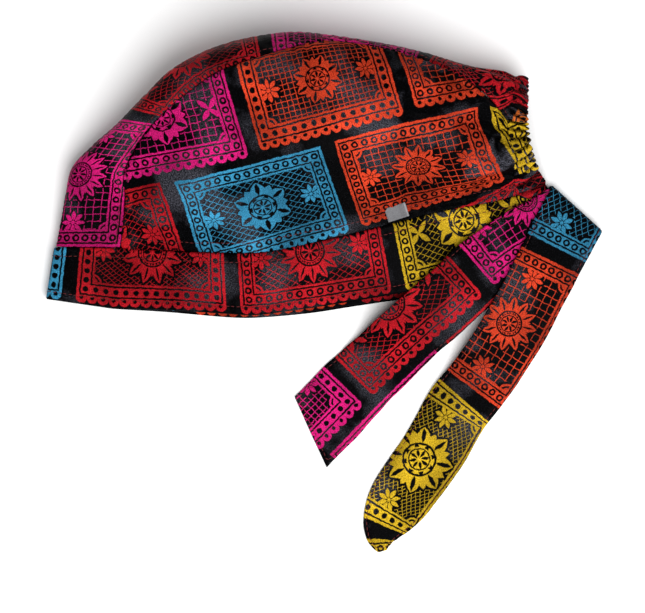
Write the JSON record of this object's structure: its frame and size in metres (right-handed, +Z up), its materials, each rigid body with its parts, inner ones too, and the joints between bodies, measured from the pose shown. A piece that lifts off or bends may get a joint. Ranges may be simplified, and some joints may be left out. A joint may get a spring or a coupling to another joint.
{
  "type": "scrub cap",
  "caption": "Tie-back scrub cap of printed cotton, lying on its side: side panels, crown strip, brow band, gathered elastic back casing and two folded ties.",
  "frame": {"origin": "middle of the footprint, on the surface that the cap lies on", "axes": "+X from the brow to the back of the cap, +Y from the mouth to the crown, +Z up from the surface"},
  "size_m": [0.3128, 0.2924, 0.0669],
  "materials": {
    "printed_cotton": "plain-woven cotton, black ground with a cut-paper style print in bright colours, slight sheen",
    "tab_tape": "plain grey woven tape"
  },
  "bodies": {
    "root": {"left_side_panel": "printed_cotton", "right_side_panel": "printed_cotton", "centre_strip": "printed_cotton", "brow_band": "printed_cotton", "back_casing": "printed_cotton", "left_tie": "printed_cotton", "right_tie": "printed_cotton", "side_tab": "tab_tape"}
  },
  "joints": []
}
